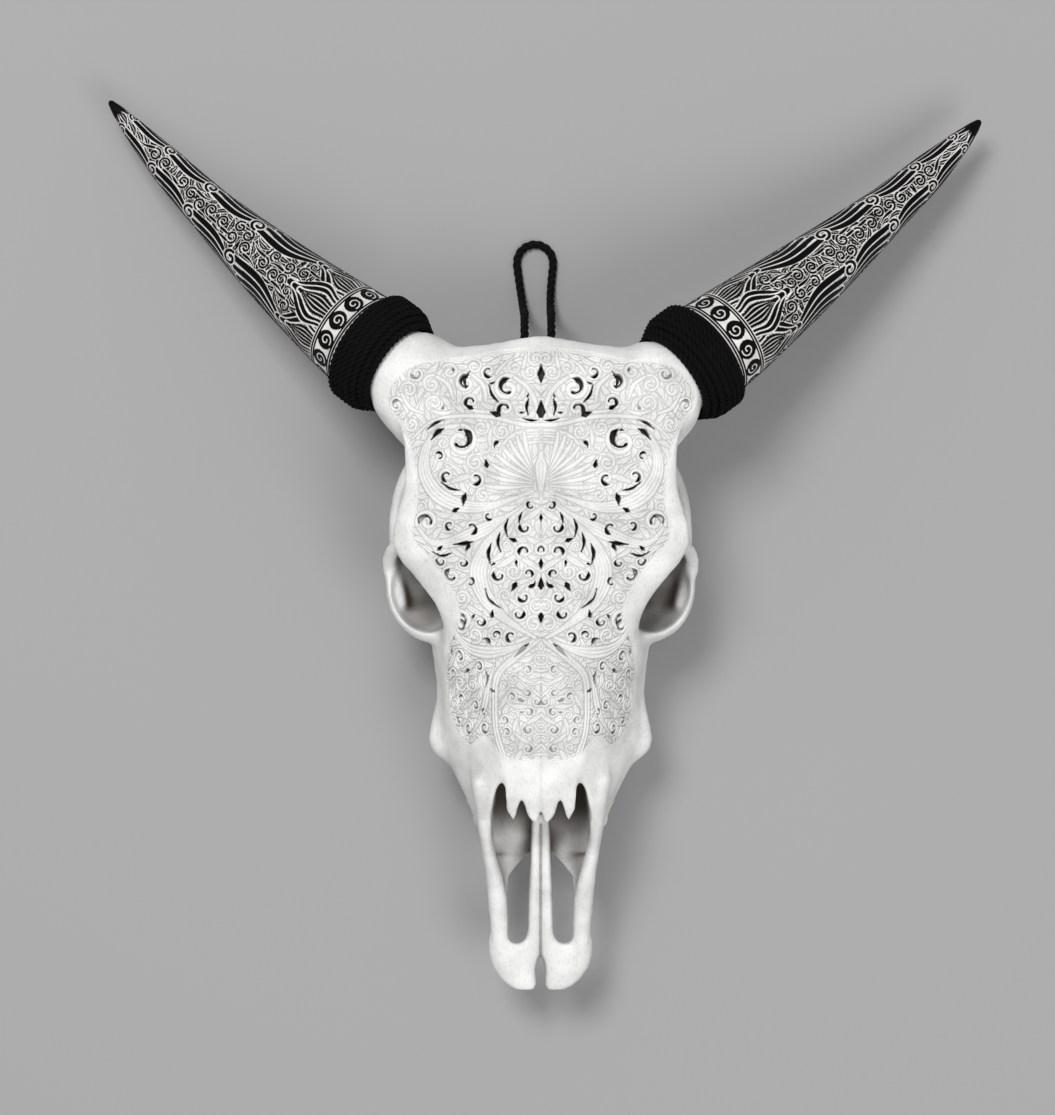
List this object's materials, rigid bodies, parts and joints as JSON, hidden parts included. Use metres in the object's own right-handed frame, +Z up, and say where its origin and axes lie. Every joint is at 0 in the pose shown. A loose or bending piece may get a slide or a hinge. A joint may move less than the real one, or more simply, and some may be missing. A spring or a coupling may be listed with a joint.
{
  "type": "carved cattle skull",
  "caption": "Cattle skull without its lower jaw, its forehead and face carved in pierced scrollwork, with black engraved horns bound in rope and a loop of cord to hang it by.",
  "frame": {"origin": "middle of the skull and horns seen from above, on the surface that the skull lies on", "axes": "+Z up out of the face, +Y from the nose to the poll, +X to the animal's left side"},
  "size_m": [0.6692, 0.6774, 0.1586],
  "materials": {
    "bone": "bleached, carved bone with a faint sheen",
    "horn": "horn dyed black and polished, engraved with white lines",
    "rope": "twisted black plant fibre",
    "cord": "braided black cord"
  },
  "bodies": {
    "root": {"cranium": "bone", "upper_jaw_left": "bone", "upper_jaw_right": "bone", "premaxilla_left": "bone", "premaxilla_right": "bone", "nasal_left": "bone", "nasal_right": "bone", "cheek_arch_left": "bone", "cheek_arch_right": "bone", "horn_left": "horn", "horn_right": "horn", "horn_rope_left": "rope", "horn_rope_right": "rope", "hanging_cord": "cord"}
  },
  "joints": []
}
